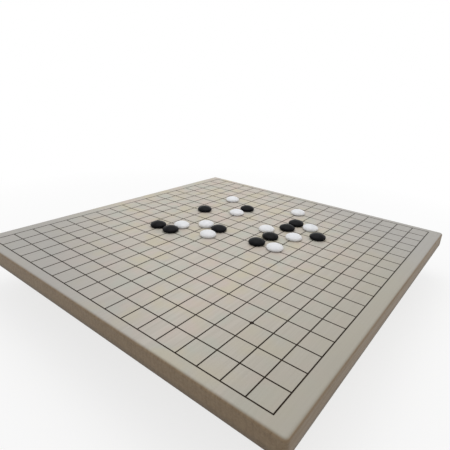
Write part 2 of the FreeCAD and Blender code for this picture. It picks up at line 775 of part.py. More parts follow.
def local_shape(body):
    """A body's shape about its own origin."""
    shape = body.Shape.copy()
    shape.Placement = FreeCAD.Placement()
    return shape


def heap_spots(width, length, count):
    """Bases of stones packed in nested layers about the middle of a floor, lowest layer first."""
    pitch = size("stone_diameter") + size("heap_gap")
    row_step = pitch * math.sqrt(3) / 2
    rim = size("stone_rim_radius")
    reach = size("stone_diameter") / 2 - rim
    nested_reach = pitch / math.sqrt(3) - reach
    curves = dome_radius() + rim
    apart = curves + size("stone_seat_gap")
    layer_step = math.sqrt(apart**2 - nested_reach**2) - curves + size("stone_thickness")
    room_x = width - pitch
    room_y = length - pitch
    rows = int(room_y / row_step) + 1
    start = -(rows - 1) * row_step / 2
    spots = []
    layer = 0
    while len(spots) < count:
        nested = layer % 2
        level = size("stone_seat_gap") + layer * layer_step
        found = []
        for row in range(rows - nested):
            offset = (row % 2 + nested) * pitch / 2
            for column in range(int((room_x - offset) / pitch) + 1):
                x = offset + column * pitch - room_x / 2
                found.append(FreeCAD.Vector(x, start + row * row_step + nested * row_step / 3, level))
        found.sort(key=lambda spot: (round(spot.x, 3), spot.y))
        spots += found[: count - len(spots)]
        layer += 1
    return spots


def gap_between(low, high):
    """The two facing ends of a pair of ranges, in order."""
    return sorted(low + high)[1:3]


def loose_stones(label, drawer, stone, count, turn):
    """The stones that lie in a drawer's wide well."""
    walls = ("left_side", "divider", "face", "back", "bottom")
    side, divider, face, back, floor = (pieces[f"{drawer}_{wall}"].Shape.BoundBox for wall in walls)
    x_low, x_high = gap_between([side.XMin, side.XMax], [divider.XMin, divider.XMax])
    y_low, y_high = gap_between([face.YMin, face.YMax], [back.YMin, back.YMax])
    middle = FreeCAD.Vector((x_low + x_high) / 2, (y_low + y_high) / 2, floor.ZMax)
    base = FreeCAD.Placement(middle, turn)
    spots = heap_spots(x_high - x_low, y_high - y_low, count)
    frames = [base.multiply(FreeCAD.Placement(spot, FreeCAD.Rotation())) for spot in spots]
    group(label, local_shape(stone), frames, base)


# ---- the assembly ----


def follow(name, value, meaning):
    """Adds a size that follows from the ones before it."""
    add_size(name, value, meaning)
    doc.recompute()


def add_sizes():
    """Fills the sheet: the driving sizes, and then the ones that follow from them."""
    for name, value, meaning in SIZES:
        add_size(name, value, meaning)
    doc.recompute()

    steps = size("line_count") - 1
    follow("pitch_across", (size("board_width") - 2 * size("margin_side")) / steps, "between lines, X")
    follow("pitch_along", (size("board_length") - 2 * size("margin_end")) / steps, "between lines, Y")
    apart = [(1, 0), (0, 1)]
    for first, second in itertools.combinations(BLACK_IN_PLAY + WHITE_IN_PLAY, 2):
        apart.append((first[0] - second[0], first[1] - second[1]))
    closest = min(math.hypot(x * size("pitch_across"), y * size("pitch_along")) for x, y in apart)
    follow("stone_diameter", closest - size("stone_gap"), "stone across")
    follow("base_width", size("board_width") - 2 * size("overhang_side"), "case across, X")
    follow("base_length", size("board_length") - 2 * size("overhang_end"), "between the drawer fronts, Y")

    side_walls = size("rail_thickness") + size("drawer_side_gap") + size("drawer_side_thickness")
    follow("drawer_inside_width", size("base_width") - 2 * side_walls, "drawer inside, X")
    back_walls = size("bulkhead_thickness") / 2 + size("drawer_back_gap") + size("drawer_back_thickness")
    inside_length = size("base_length") / 2 - size("drawer_front_thickness") - back_walls
    follow("drawer_inside_length", inside_length, "drawer inside, Y")

    well_width = size("drawer_inside_width") - size("captures_width") - size("divider_thickness")
    top_stone = heap_spots(well_width, inside_length, max(BLACK_STONES, WHITE_STONES))[-1]
    heap = math.ceil(top_stone.z + size("stone_thickness"))
    floor = size("drawer_lift") + size("bottom_level") + size("joint_gap") + size("bottom_thickness")
    clear_height = floor + heap + size("heap_headroom")
    follow("case_height", clear_height + size("stretcher_thickness"), "side rails and bulkhead, Z")
    follow(
        "drawer_side_height", clear_height - size("drawer_lift") - size("drawer_top_gap"), "drawer side, Z"
    )
    follow(
        "divider_height", clear_height - size("stop_drop") - size("divider_top_gap") - floor,
        "divider in a drawer, Z",
    )


def check():
    """Stops before anything is written if a feature failed, cut nothing or left no sound solid."""
    for item in doc.Objects:
        if "Invalid" in item.State or "Error" in item.State:
            raise RuntimeError(f"{item.Name} failed: {item.State}")
        if item.TypeId in ("PartDesign::Pocket", "PartDesign::Hole"):
            if item.Shape.Volume >= item.BaseFeature.Shape.Volume:
                raise RuntimeError(f"{item.Name} cuts nothing")
    for label, item in pieces.items():
        if item.Shape.isNull() or not item.Shape.isValid():
            raise RuntimeError(f"{label} has no sound shape")


def main():
    add_sizes()
    playing_board()
    printed_grid()
    stones_in_play("black", BLACK_IN_PLAY)
    stones_in_play("white", WHITE_IN_PLAY)

    panel, foot_holes, panel_holes = bottom_panel()
    side_rail("left_side_rail", -1)
    side_rail("right_side_rail", 1)
    centre_bulkhead()
    stretchers = []
    runners = []
    drawers = (("front", -1, turned(0)), ("rear", 1, turned(180)))
    for name, end, turn in drawers:
        stretchers.append(top_stretcher(f"{name}_top_stretcher", end))
        drawer_stop(f"{name}_drawer_stop", end)
        for side, hand in ((-1, "left"), (1, "right")):
            runners.append(runner(f"{name}_{hand}_runner", side, end))
    foot = rubber_foot()

    knob_holes = {}
    for name, end, turn in drawers:
        drawer = f"{name}_drawer"
        knob_holes[drawer] = drawer_face(f"{drawer}_face", end, turn)
        drawer_side(f"{drawer}_left_side", -1, end, turn)
        drawer_side(f"{drawer}_right_side", 1, end, turn)
        drawer_back(f"{drawer}_back", end, turn)
        drawer_bottom(f"{drawer}_bottom", end, turn)
        drawer_divider(f"{drawer}_divider", end, turn)
        drawer_knob(f"{drawer}_knob", end, turn)
    doc.recompute()

    panel_reach = size("panel_thickness") + size("panel_screw_bite")
    stretcher_reach = size("stretcher_thickness") + size("board_screw_bite")
    foot_web = size("foot_height") - size("foot_recess_depth")
    runner_reach = runners[0][0].Shape.BoundBox.XLength + size("runner_screw_bite")
    group("rubber_feet", local_shape(foot), hole_frames(panel, foot_holes, size("foot_height")))
    group("foot_screws", screw(foot_web + panel_reach, False), hole_frames(panel, foot_holes, foot_web))
    group("panel_screws", screw(panel_reach, True), hole_frames(panel, panel_holes))
    group(
        "board_screws", screw(stretcher_reach, True),
        [frame for body, holes in stretchers for frame in hole_frames(body, holes)],
    )
    group(
        "runner_screws", screw(runner_reach, True),
        [frame for body, holes in runners for frame in hole_frames(body, holes)],
    )
    in_play = {"black": len(BLACK_IN_PLAY), "white": len(WHITE_IN_PLAY)}
    owners = (("front_drawer", "black", BLACK_STONES), ("rear_drawer", "white", WHITE_STONES))
    for (drawer, colour, count), (name, end, turn) in zip(owners, drawers):
        knob_reach = size("drawer_front_thickness") + size("knob_screw_bite")
        group(f"{drawer}_knob_screw", screw(knob_reach, False), hole_frames(*knob_holes[drawer]))
        loose_stones(
            f"{colour}_stones_in_drawer", drawer, pieces[f"{colour}_stone_01"], count - in_play[colour], turn
        )

    doc.recompute()
    check()
    os.makedirs("parts", exist_ok=True)
    for label, item in pieces.items():
        item.Shape.exportStep(f"parts/{label}.step")


main()
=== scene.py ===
import math
import random

import bpy
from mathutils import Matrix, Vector


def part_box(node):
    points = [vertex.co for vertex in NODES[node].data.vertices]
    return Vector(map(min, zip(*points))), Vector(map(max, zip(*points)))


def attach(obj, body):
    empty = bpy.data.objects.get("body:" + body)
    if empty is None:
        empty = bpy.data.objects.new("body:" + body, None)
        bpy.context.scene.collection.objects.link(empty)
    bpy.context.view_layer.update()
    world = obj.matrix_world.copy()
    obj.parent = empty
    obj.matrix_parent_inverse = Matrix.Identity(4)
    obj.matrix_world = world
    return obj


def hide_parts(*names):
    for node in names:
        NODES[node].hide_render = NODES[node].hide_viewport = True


# The looks of the go board on its drawer case. Lengths are in metres, in the packed
# part's own frame: X across the board, Y from the front player to the rear one, Z up.
# Colours are written as 8-bit sRGB numbers, and colour() makes them linear.

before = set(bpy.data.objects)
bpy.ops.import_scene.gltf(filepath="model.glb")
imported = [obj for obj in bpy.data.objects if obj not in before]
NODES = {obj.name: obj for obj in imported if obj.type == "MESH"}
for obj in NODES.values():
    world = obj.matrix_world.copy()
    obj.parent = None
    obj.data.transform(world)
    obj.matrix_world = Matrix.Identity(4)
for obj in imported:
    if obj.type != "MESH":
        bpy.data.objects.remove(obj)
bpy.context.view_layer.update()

MM = 0.001

# ---- the camera and the light ----

CAMERA_AT = (0.2818, -0.3853, 0.2692)
CAMERA_TURN = (68.70, -2.72, 38.31)
CAMERA_LENS = 31.07
CAMERA_SENSOR = 36
CAMERA_CLIP = (0.01, 100)

SOFTBOX_AT = (-0.08, 0.14, 0.75)
SOFTBOX_SIZE = 0.6
SOFTBOX_POWER = 1.9
AMBIENT = 0.66

FLOOR_RADIUS = 12
FLOOR_SIDES = 96
FLOOR_FADE = (0.34, 0.7)
FLOOR_WHITE = (252, 252, 252)
FLOOR_BOUNCE = (150, 148, 145)
FLOOR_GLOW = 0.74

# ---- colours ----

TOP_LIGHT = (197, 190, 179)
TOP_DARK = (177, 169, 158)
# Painted shade: the next two colours darken the top towards its right edge and towards two
# corners.
TOP_RIGHT_SHADE = (166, 161, 148)
TOP_CORNER_SHADE = (166, 163, 158)
TOP_PINK = (194, 179, 168)
TOP_GREEN = (181, 182, 170)
TOP_YELLOW = (192, 183, 160)
# The next two colours are the side's browner wood, made darker still by painted shade.
SIDE_LIGHT = (150, 129, 101)
SIDE_DARK = (118, 97, 71)
# Painted shade along the side's underside.
SIDE_LOW_SHADE = (92, 80, 67)
INK = (33, 24, 13)
BLACK_GLASS = (15, 15, 17)
BLACK_CLOUD = (25, 25, 28)
WHITE_GLASS = (229, 230, 233)
WHITE_CLOUD = (218, 220, 223)
CASE_WOOD = ((200, 181, 154), (174, 150, 121))
KNOB_WOOD = ((112, 84, 60), (74, 52, 36))
PALE_WOOD = ((190, 172, 142), (166, 146, 116))
RUBBER = (44, 43, 42)
RUBBER_DUST = (92, 88, 82)
STEEL = (150, 148, 144)
STEEL_BRIGHT = (186, 183, 178)


def linear(value):
    """One 8-bit sRGB channel as a linear number, by the standard's own curve."""
    share = value / 255
    if share <= 0.04045:
        return share / 12.92
    return ((share + 0.055) / 1.055) ** 2.4


def colour(rgb):
    """An sRGB colour as a linear one with no transparency."""
    return (*[linear(value) for value in rgb], 1)


# ---- helpers for node trees ----

# A Mix node keeps its sockets for colours at these places.
MIX_SHARE, MIX_FIRST, MIX_SECOND, MIX_RESULT = 0, 6, 7, 2


def feed(tree, value, socket):
    """Link another node's output to a socket, or set a plain value on it."""
    if isinstance(value, bpy.types.NodeSocket):
        tree.links.new(value, socket)
    else:
        socket.default_value = value


def add(tree, kind, inputs=None, **settings):
    """A node with its settings made and its inputs fed."""
    node = tree.nodes.new(kind)
    for name, value in settings.items():
        setattr(node, name, value)
    for name, value in (inputs or {}).items():
        feed(tree, value, node.inputs[name])
    return node


def new_material(name):
    """A material, its tree and its Principled shader."""
    material = bpy.data.materials.new(name)
    material.use_nodes = True
    tree = material.node_tree
    return material, tree, tree.nodes["Principled BSDF"]


def object_place(tree):
    """The point of the surface in the part's own frame."""
    return add(tree, "ShaderNodeTexCoord").outputs["Object"]


def coordinate(tree, place, axis):
    """One coordinate of a place."""
    return add(tree, "ShaderNodeSeparateXYZ", {"Vector": place}).outputs[axis]


def stretched(tree, place, scale, shift=(0, 0, 0)):
    """A place scaled along each axis and then shifted."""
    mapping = add(tree, "ShaderNodeMapping", {"Vector": place, "Location": shift, "Scale": scale})
    return mapping.outputs["Vector"]


def noise(tree, place, scale=1.0, detail=3.0, roughness=0.5):
    """Clouds of values, most of them in NOISE_MIDDLE."""
    inputs = {"Vector": place, "Scale": scale, "Detail": detail, "Roughness": roughness}
    return add(tree, "ShaderNodeTexNoise", inputs).outputs["Fac"]


def vector_maths(tree, operation, *vectors):
    """A node that works on vectors."""
    return add(tree, "ShaderNodeVectorMath", dict(enumerate(vectors)), operation=operation)


def maths(tree, operation, first, second=0.0):
    inputs = {0: first, 1: second}
    return add(tree, "ShaderNodeMath", inputs, operation=operation).outputs["Value"]


def summed(tree, *shares):
    """Shares added up and kept between 0 and 1."""
    total = shares[0]
    for share in shares[1:]:
        total = maths(tree, "ADD", total, share)
    return add(tree, "ShaderNodeClamp", {"Value": total}).outputs["Result"]


def remap(tree, value, source, target):
    """A value's range spread over another one; beyond its ends it stays at the target's."""
    inputs = {
        "Value": value,
        "From Min": source[0],
        "From Max": source[1],
        "To Min": target[0],
        "To Max": target[1],
    }
    return add(tree, "ShaderNodeMapRange", inputs).outputs["Result"]


def mix(tree, share, first, second):
    """Two linear colours mixed by a share."""
    inputs = {MIX_SHARE: share, MIX_FIRST: first, MIX_SECOND: second}
    return add(tree, "ShaderNodeMix", inputs, data_type="RGBA").outputs[MIX_RESULT]


# ---- materials ----

# Where most of a noise's values lie.
NOISE_MIDDLE = (0.3, 0.7)

# For each kind of surface, its lowest and highest roughness, and the depth and strength
# of its relief.
SKINS = {
    "wood": ((0.44, 0.6), 0.08 * MM, 0.5),
    "board": ((0.46, 0.6), 0.05 * MM, 0.4),
    "glass": ((0.3, 0.42), 0.02 * MM, 0.3),
    "rubber": ((0.7, 0.9), 0.05 * MM, 0.5),
    "steel": ((0.28, 0.45), 0.02 * MM, 0.4),
}


def add_skin(tree, shader, kind, base, rough_by, height):
    """Give a shader its colour, and the roughness and relief of its kind of surface."""
    roughness, depth, strength = SKINS[kind]
    relief = {"Height": height, "Distance": depth, "Strength": strength}
    feed(tree, base, shader.inputs["Base Color"])
    feed(tree, remap(tree, rough_by, NOISE_MIDDLE, roughness), shader.inputs["Roughness"])
    feed(tree, add(tree, "ShaderNodeBump", relief).outputs["Normal"], shader.inputs["Normal"])


# The turn that brings each axis of the part onto the log's Z axis.
GRAIN_TURNS = {"X": (0, math.radians(90), 0), "Y": (math.radians(90), 0, 0), "Z": (0, 0, 0)}

# Each wooden piece is sawn from a place of its own, a step on from the last one's.
LOG_START = (0.21, 0.34, 0)
LOG_STEP = (0.13, -0.07, 0.11)

RING_WAVER = 5.0
RING_WAVER_SCALE = (14, 14, 1.6)

# A scale is in waves per metre. Fibres have one across the grain and one along it. A tone
# is how far towards the dark colour something goes.
WOOD_RINGS = 3.2 * MM
WOOD_LATE = (0.55, 0.98)
WOOD_LATE_TONE = 0.45
WOOD_FIBRES = (900, 22)
WOOD_FIBRE_TONE = 0.55
WOOD_CLOUDS = (18, 18, 4)
WOOD_CLOUD_TONE = (-0.2, 0.25)

BOARD_LOG = (0.9, 0.05, 0)
BOARD_RINGS = 4.5 * MM
BOARD_LATE = (0.5, 1.0)
BOARD_LATE_TONE = 0.2
BOARD_FIBRES = (700, 16)
BOARD_FIBRE_TONE = 0.45
BOARD_BANDS = (240, 7)
BOARD_BAND_RANGE = (0.35, 0.65)
BOARD_BAND_TONE = 0.35

# The top has faint patches of other hues.
PATCHES = (
    (TOP_PINK, (0.3, 0.9, 0.2)),
    (TOP_GREEN, (3.1, 1.7, 0.4)),
    (TOP_YELLOW, (7.7, 5.2, 0.6)),
)
PATCH_SCALE = (38, 34, 30)
PATCH_DETAIL = 1.5
PATCH_RANGE = (0.5, 0.68)
PATCH_SHARE = 0.75

# Painted shade darkens the top towards the right edge and, along a slant, towards two corners,
# where the light falls off, and painted shade darkens the side towards the underside.
RIGHT_SHADE_FADE = (0.08, 0.22)
RIGHT_SHADE_SHARE = 0.95
CORNER_SHADE_SLANT = (0.51, 0.86, 0)
CORNER_SHADE_FADE = (0.12, 0.22)
CORNER_SHADE_SHARE = 0.85
LOW_SHADE_FADE = (1 * MM, 7 * MM)
LOW_SHADE_SHARE = 0.75
TOP_FACING = (0.6, 0.95)

INK_FIBRES = (1200, 90, 1)
INK_THIN = (0.5, 0.8)
INK_THIN_SHARE = 0.25
INK_ROUGHNESS = (0.42, 0.6)
INK_SHINE = 0.08

GLASS_CLOUDS = 160
GLASS_CLOUD_RANGE = (0.35, 0.7)
GLASS_CLOUD_SHARE = 0.6
GLASS_PITS = 2600
GLASS_DEPTH = 8 * MM
BLACK_SHINE = 0.06
WHITE_SHINE = 0.4

GRIT = 1800
DUST = 120
DUST_RANGE = (0.4, 0.8)
DUST_SHARE = 0.3

STEEL_TURNING = (2500, 2500, 300)


def along_grain(tree, axis, shift):
    """The place in the log that a piece was sawn from, with Z along the grain."""
    turn = {"Vector": object_place(tree), "Rotation": GRAIN_TURNS[axis]}
    lying = add(tree, "ShaderNodeMapping", turn).outputs["Vector"]
    return vector_maths(tree, "ADD", lying, shift).outputs["Vector"]


def fibres(tree, log, scales):
    """Fine streaks along the grain."""
    across, along = scales
    return noise(tree, stretched(tree, log, (across, across, along)), detail=4, roughness=0.6)


def year_rings(tree, log, spacing):
    """Growth rings about the log's Z axis, wavering a little; each goes from 0 to 1."""
    waver = noise(tree, stretched(tree, log, RING_WAVER_SCALE), detail=2)
    flat = vector_maths(tree, "MULTIPLY", log, (1, 1, 0)).outputs["Vector"]
    radius = vector_maths(tree, "LENGTH", flat).outputs["Value"]
    rings = maths(tree, "DIVIDE", radius, spacing)
    rings = maths(tree, "ADD", rings, maths(tree, "MULTIPLY", waver, RING_WAVER))
    return maths(tree, "FRACT", rings)


def wood(name, light, dark, axis, shift):
    """A sawn, lacquered wood: rings, fibres and broad tone, with pores in its finish."""
    material, tree, shader = new_material(name)
    log = along_grain(tree, axis, shift)
    late = remap(tree, year_rings(tree, log, WOOD_RINGS), WOOD_LATE, (0.0, WOOD_LATE_TONE))
    streaks = fibres(tree, log, WOOD_FIBRES)
    clouds = noise(tree, stretched(tree, log, WOOD_CLOUDS), detail=2)
    tone = summed(
        tree,
        late,
        remap(tree, streaks, NOISE_MIDDLE, (0.0, WOOD_FIBRE_TONE)),
        remap(tree, clouds, NOISE_MIDDLE, WOOD_CLOUD_TONE),
    )
    base = mix(tree, tone, colour(light), colour(dark))
    add_skin(tree, shader, "wood", base, streaks, maths(tree, "SUBTRACT", streaks, late))
    return material


def board_top(tree, place, tone):
    """The pale, greyish top, with its patches, and painted shade on its right edge and corners.
    """
    top = mix(tree, tone, colour(TOP_LIGHT), colour(TOP_DARK))
    for hue, shift in PATCHES:
        patches = noise(tree, stretched(tree, place, PATCH_SCALE, shift), detail=PATCH_DETAIL)
        share = remap(tree, patches, PATCH_RANGE, (0.0, PATCH_SHARE))
        top = mix(tree, share, top, colour(hue))
    # Painted shade: the top darkens towards its right edge and towards two corners, where the
    # light falls off.
    share = remap(tree, coordinate(tree, place, "X"), RIGHT_SHADE_FADE, (0.0, RIGHT_SHADE_SHARE))
    top = mix(tree, share, top, colour(TOP_RIGHT_SHADE))
    slant = vector_maths(tree, "DOT_PRODUCT", place, CORNER_SHADE_SLANT).outputs["Value"]
    share = remap(tree, maths(tree, "ABSOLUTE", slant), CORNER_SHADE_FADE, (0.0, CORNER_SHADE_SHARE))
    return mix(tree, share, top, colour(TOP_CORNER_SHADE))


def board_side(tree, place, tone):
    """The side: its own browner wood, made darker by painted shade, and darkest along the
    underside by more painted shade.
    """
    # The side's colours hold painted shade as well as its browner wood.
    side = mix(tree, tone, colour(SIDE_LIGHT), colour(SIDE_DARK))
    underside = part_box("playing_board")[0].z
    height = maths(tree, "SUBTRACT", coordinate(tree, place, "Z"), underside)
    # Painted shade darkens the side towards the underside.
    return mix(tree, remap(tree, height, LOW_SHADE_FADE, (LOW_SHADE_SHARE, 0.0)), side, colour(SIDE_LOW_SHADE))


def board_wood():
    """The playing board: faint grain, and one colour for its top and one, darkened partly by
    painted shade, for its sides.
    """
    material, tree, shader = new_material("board_wood_finish")
    place = object_place(tree)
    log = along_grain(tree, "Y", BOARD_LOG)
    late = remap(tree, year_rings(tree, log, BOARD_RINGS), BOARD_LATE, (0.0, BOARD_LATE_TONE))
    streaks = fibres(tree, log, BOARD_FIBRES)
    bands = fibres(tree, log, BOARD_BANDS)
    tone = summed(
        tree,
        late,
        remap(tree, streaks, NOISE_MIDDLE, (0.0, BOARD_FIBRE_TONE)),
        remap(tree, bands, BOARD_BAND_RANGE, (0.0, BOARD_BAND_TONE)),
    )
    normal = add(tree, "ShaderNodeTexCoord").outputs["Normal"]
    # The top's colour gives way to the sides', whose darker tone is partly painted shade.
    is_top = remap(tree, coordinate(tree, normal, "Z"), TOP_FACING, (0.0, 1.0))
    base = mix(tree, is_top, board_side(tree, place, tone), board_top(tree, place, tone))
    add_skin(tree, shader, "board", base, streaks, maths(tree, "SUBTRACT", streaks, late))
    return material


def print_ink():
    """Lacquer ink, a little thinner where the wood's fibres stand up."""
    material, tree, shader = new_material("print_ink_finish")
    thin = noise(tree, stretched(tree, object_place(tree), INK_FIBRES), detail=2)
    share = remap(tree, thin, INK_THIN, (0.0, INK_THIN_SHARE))
    feed(tree, mix(tree, share, colour(INK), colour(SIDE_DARK)), shader.inputs["Base Color"])
    feed(tree, remap(tree, thin, NOISE_MIDDLE, INK_ROUGHNESS), shader.inputs["Roughness"])
    shader.inputs["Specular IOR Level"].default_value = INK_SHINE
    return material


def stone_glass(name, body, cloud, shine, milk):
    """Pressed glass with a satin skin: faint clouds, and fine pits that break up its shine."""
    material, tree, shader = new_material(name)
    place = object_place(tree)
    clouds = noise(tree, place, GLASS_CLOUDS)
    pits = noise(tree, place, GLASS_PITS, detail=2)
    share = remap(tree, clouds, GLASS_CLOUD_RANGE, (0.0, GLASS_CLOUD_SHARE))
    add_skin(tree, shader, "glass", mix(tree, share, colour(body), colour(cloud)), pits, pits)
    shader.inputs["Specular IOR Level"].default_value = shine
    shader.inputs["Subsurface Weight"].default_value = milk
    shader.inputs["Subsurface Radius"].default_value = (1.0, 1.0, 1.0)
    shader.inputs["Subsurface Scale"].default_value = GLASS_DEPTH
    return material


def foot_rubber():
    """Gritty rubber with a little dust on it."""
    material, tree, shader = new_material("foot_rubber_finish")
    place = object_place(tree)
    grit = noise(tree, place, GRIT)
    share = remap(tree, noise(tree, place, DUST), DUST_RANGE, (0.0, DUST_SHARE))
    base = mix(tree, share, colour(RUBBER), colour(RUBBER_DUST))
    add_skin(tree, shader, "rubber", base, grit, grit)
    return material


def screw_steel():
    """Plated steel with the fine marks of its making."""
    material, tree, shader = new_material("screw_steel_finish")
    marks = noise(tree, stretched(tree, object_place(tree), STEEL_TURNING))
    base = mix(tree, marks, colour(STEEL), colour(STEEL_BRIGHT))
    add_skin(tree, shader, "steel", base, marks, marks)
    shader.inputs["Metallic"].default_value = 1.0
    return material


def wooden_nodes():
    """Each wooden node of the case, with its grain's axis and its light and dark colour."""
    nodes = {"bottom_panel": ("X", *PALE_WOOD), "centre_bulkhead": ("X", *CASE_WOOD)}
    for hand in ("left", "right"):
        nodes[f"{hand}_side_rail"] = ("Y", *CASE_WOOD)
    for end in ("front", "rear"):
        nodes[f"{end}_top_stretcher"] = ("X", *CASE_WOOD)
        nodes[f"{end}_drawer_stop"] = ("X", *CASE_WOOD)
        nodes[f"{end}_drawer_face"] = ("X", *CASE_WOOD)
        nodes[f"{end}_drawer_back"] = ("X", *PALE_WOOD)
        nodes[f"{end}_drawer_bottom"] = ("X", *PALE_WOOD)
        nodes[f"{end}_drawer_divider"] = ("Y", *PALE_WOOD)
        nodes[f"{end}_drawer_knob"] = ("Y", *KNOB_WOOD)
        for hand in ("left", "right"):
            nodes[f"{end}_{hand}_runner"] = ("Y", *CASE_WOOD)
            nodes[f"{end}_drawer_{hand}_side"] = ("Y", *PALE_WOOD)
    return nodes


def paint(names, material):
    """Give CAD nodes a material."""
    for name in names:
        slots = NODES[name].data.materials
        slots.clear()
        slots.append(material)


def paint_object():
    paint(["playing_board"], board_wood())
    paint(["grid_lines"], print_ink())
    black = stone_glass("black_stone_finish", BLACK_GLASS, BLACK_CLOUD, BLACK_SHINE, 0.0)
    white = stone_glass("white_stone_finish", WHITE_GLASS, WHITE_CLOUD, WHITE_SHINE, 1.0)
    paint([name for name in NODES if name.startswith("black_stone")], black)
    paint([name for name in NODES if name.startswith("white_stone")], white)
    paint(["rubber_feet"], foot_rubber())
    paint([name for name in NODES if name.endswith(("_screws", "_screw"))], screw_steel())
    for count, (name, (axis, light, dark)) in enumerate(sorted(wooden_nodes().items())):
        shift = [start + step * count for start, step in zip(LOG_START, LOG_STEP)]
        paint([name], wood(name + "_finish", light, dark, axis, shift))


# ---- turned pieces ----

KNOB_SEGMENTS = 48
KNOB_STEPS = 10
KNOB_NECK = 4 * MM

# How much of the knob's length its hollow neck takes, and the power that makes its head
# fuller than a quarter of an ellipse.
KNOB_COVE = 0.52
KNOB_FULLNESS = 0.55


def turned(outline, segments):
    """Corners and faces of an outline turned about Z.

    The outline is a list of radius and height, and it starts and ends on the axis.
    """
    corners = [Vector((0, 0, outline[0][1])), Vector((0, 0, outline[-1][1]))]
    for radius, height in outline[1:-1]:
        for segment in range(segments):
            angle = 2 * math.pi * segment / segments
            corners.append(Vector((radius * math.cos(angle), radius * math.sin(angle), height)))
    # All but the two ends are rings, and this is how far the last ring is from the first.
    last_ring = segments * (len(outline) - 3)
    faces = []
    for segment in range(segments):
        here = 2 + segment
        beside = 2 + (segment + 1) % segments
        faces.append((0, beside, here))
        faces.append((1, here + last_ring, beside + last_ring))
        for ring in range(0, last_ring, segments):
            above = ring + segments
            faces.append((here + ring, beside + ring, beside + above, here + above))
    return corners, faces


def smooth_piece(name, corners, faces, material):
    """A smoothly shaded piece with one material."""
    mesh = bpy.data.meshes.new(name)
    mesh.from_pydata(corners, [], faces)
    mesh.polygons.foreach_set("use_smooth", [True] * len(faces))
    mesh.materials.append(material)
    piece = bpy.data.objects.new(name, mesh)
    bpy.context.scene.collection.objects.link(piece)
    return piece


def knob_outline(widest, reach):
    """From the drawer's face outwards: a hollow neck that flares into a full, rounded head."""
    cove = KNOB_COVE * reach
    points = [(0, 0), (KNOB_NECK, 0)]
    for step in range(1, KNOB_STEPS + 1):
        turn = math.pi / 2 * step / KNOB_STEPS
        radius = KNOB_NECK + (widest - KNOB_NECK) * (1 - math.cos(turn))
        points.append((radius, cove * step / KNOB_STEPS))
    for step in range(1, KNOB_STEPS):
        turn = math.pi / 2 * step / KNOB_STEPS
        radius = widest * math.cos(turn) ** KNOB_FULLNESS
        points.append((radius, cove + (reach - cove) * math.sin(turn)))
    points.append((0, reach))
    return points


def add_knobs():
    """A smooth knob in place of each drawer's CAD one, of the same width and length."""
    for end, outwards in (("front", -1), ("rear", 1)):
        node = f"{end}_drawer_knob"
        low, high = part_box(node)
        inner = high.y if outwards < 0 else low.y
        seat = Vector(((low.x + high.x) / 2, inner, (low.z + high.z) / 2))
        outline = knob_outline((high.x - low.x) / 2, high.y - low.y)
        corners, faces = turned(outline, KNOB_SEGMENTS)
        placed = [seat + Vector((x, outwards * z, -outwards * y)) for x, y, z in corners]
        material = NODES[node].data.materials[0]
        piece = smooth_piece(f"{end}_knob", placed, faces, material)
        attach(piece, f"{end}_drawer")
        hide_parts(node)


# ---- loose stones in the drawers ----

# They are dropped into a copy of a drawer's well, shaken level and left to settle. One
# unit of that small world is ten millimetres, a size of stone that suits the solver.

UNIT = 0.01
STONE_RADIUS = 1.08
STONE_THICKNESS = 0.74
STONE_RIM = 0.24
STONE_SEGMENTS = 28
STONE_STEPS = 5
HULL_SEGMENTS = 16
HULL_STEPS = 3
DRAWER_STONES = {"black": 171, "white": 170}

# The stones start in layers, HEAP_SPOT apart or more, each a little out of place.
HEAP_SEED = 6
HEAP_SPOT = 2.6
HEAP_START = 1.0
HEAP_LAYER = 1.5
HEAP_SHIFT = 0.15
HEAP_TILT = 0.35

# The pull of gravity sways from side to side between the two frames of HEAP_SHAKEN.
HEAP_FRAMES = 150
HEAP_SHAKEN = (45, 105)
HEAP_PULL = 60
HEAP_SWAY = 24
HEAP_SWAY_PACE = 0.7
HEAP_SUBSTEPS = 12
HEAP_ITERATIONS = 20

WELL_CLEARANCE = 0.025
WELL_WALL = 4
WELL_DEPTH = 60

STONE_MARGIN = 0.01
FRICTION = 0.35
BOUNCE = 0.05
LINEAR_DAMPING = 0.15
ANGULAR_DAMPING = 0.25


def stone_outline(steps):
    """A stone's outline about its middle: a flat base, a round rim and a domed top."""
    reach = STONE_RADIUS - STONE_RIM
    half = STONE_THICKNESS / 2
    dome = (reach**2 + STONE_THICKNESS**2 - 2 * STONE_THICKNESS * STONE_RIM) / (
        2 * (STONE_THICKNESS - 2 * STONE_RIM)
    )
    rim_height = STONE_RIM - half
    dome_height = half - dome
    turn = math.atan2(rim_height - dome_height, reach)
    upwards = math.pi / 2
    points = [(0, -half)]
    for step in range(steps + 1):
        angle = -upwards + (turn + upwards) * step / steps
        radius = reach + STONE_RIM * math.cos(angle)
        points.append((radius, rim_height + STONE_RIM * math.sin(angle)))
    for step in range(1, steps):
        angle = turn + (upwards - turn) * step / steps
        points.append((dome * math.cos(angle), dome_height + dome * math.sin(angle)))
    points.append((0, half))
    return points


def well_wall(low, high):
    """A block that keeps the stones in."""
    middle = (Vector(low) + Vector(high)) / 2
    half = Vector(high) - middle
    signs = [(x, y, z) for z in (-1, 1) for y in (-1, 1) for x in (-1, 1)]
    mesh = bpy.data.meshes.new("well_wall")
    faces = [(0, 2, 3, 1), (4, 5, 7, 6), (0, 1, 5, 4), (2, 6, 7, 3), (0, 4, 6, 2), (1, 3, 7, 5)]
    mesh.from_pydata([half * Vector(sign) for sign in signs], [], faces)
    wall = bpy.data.objects.new("well_wall", mesh)
    wall.location = middle
    bpy.context.scene.collection.objects.link(wall)
    return wall


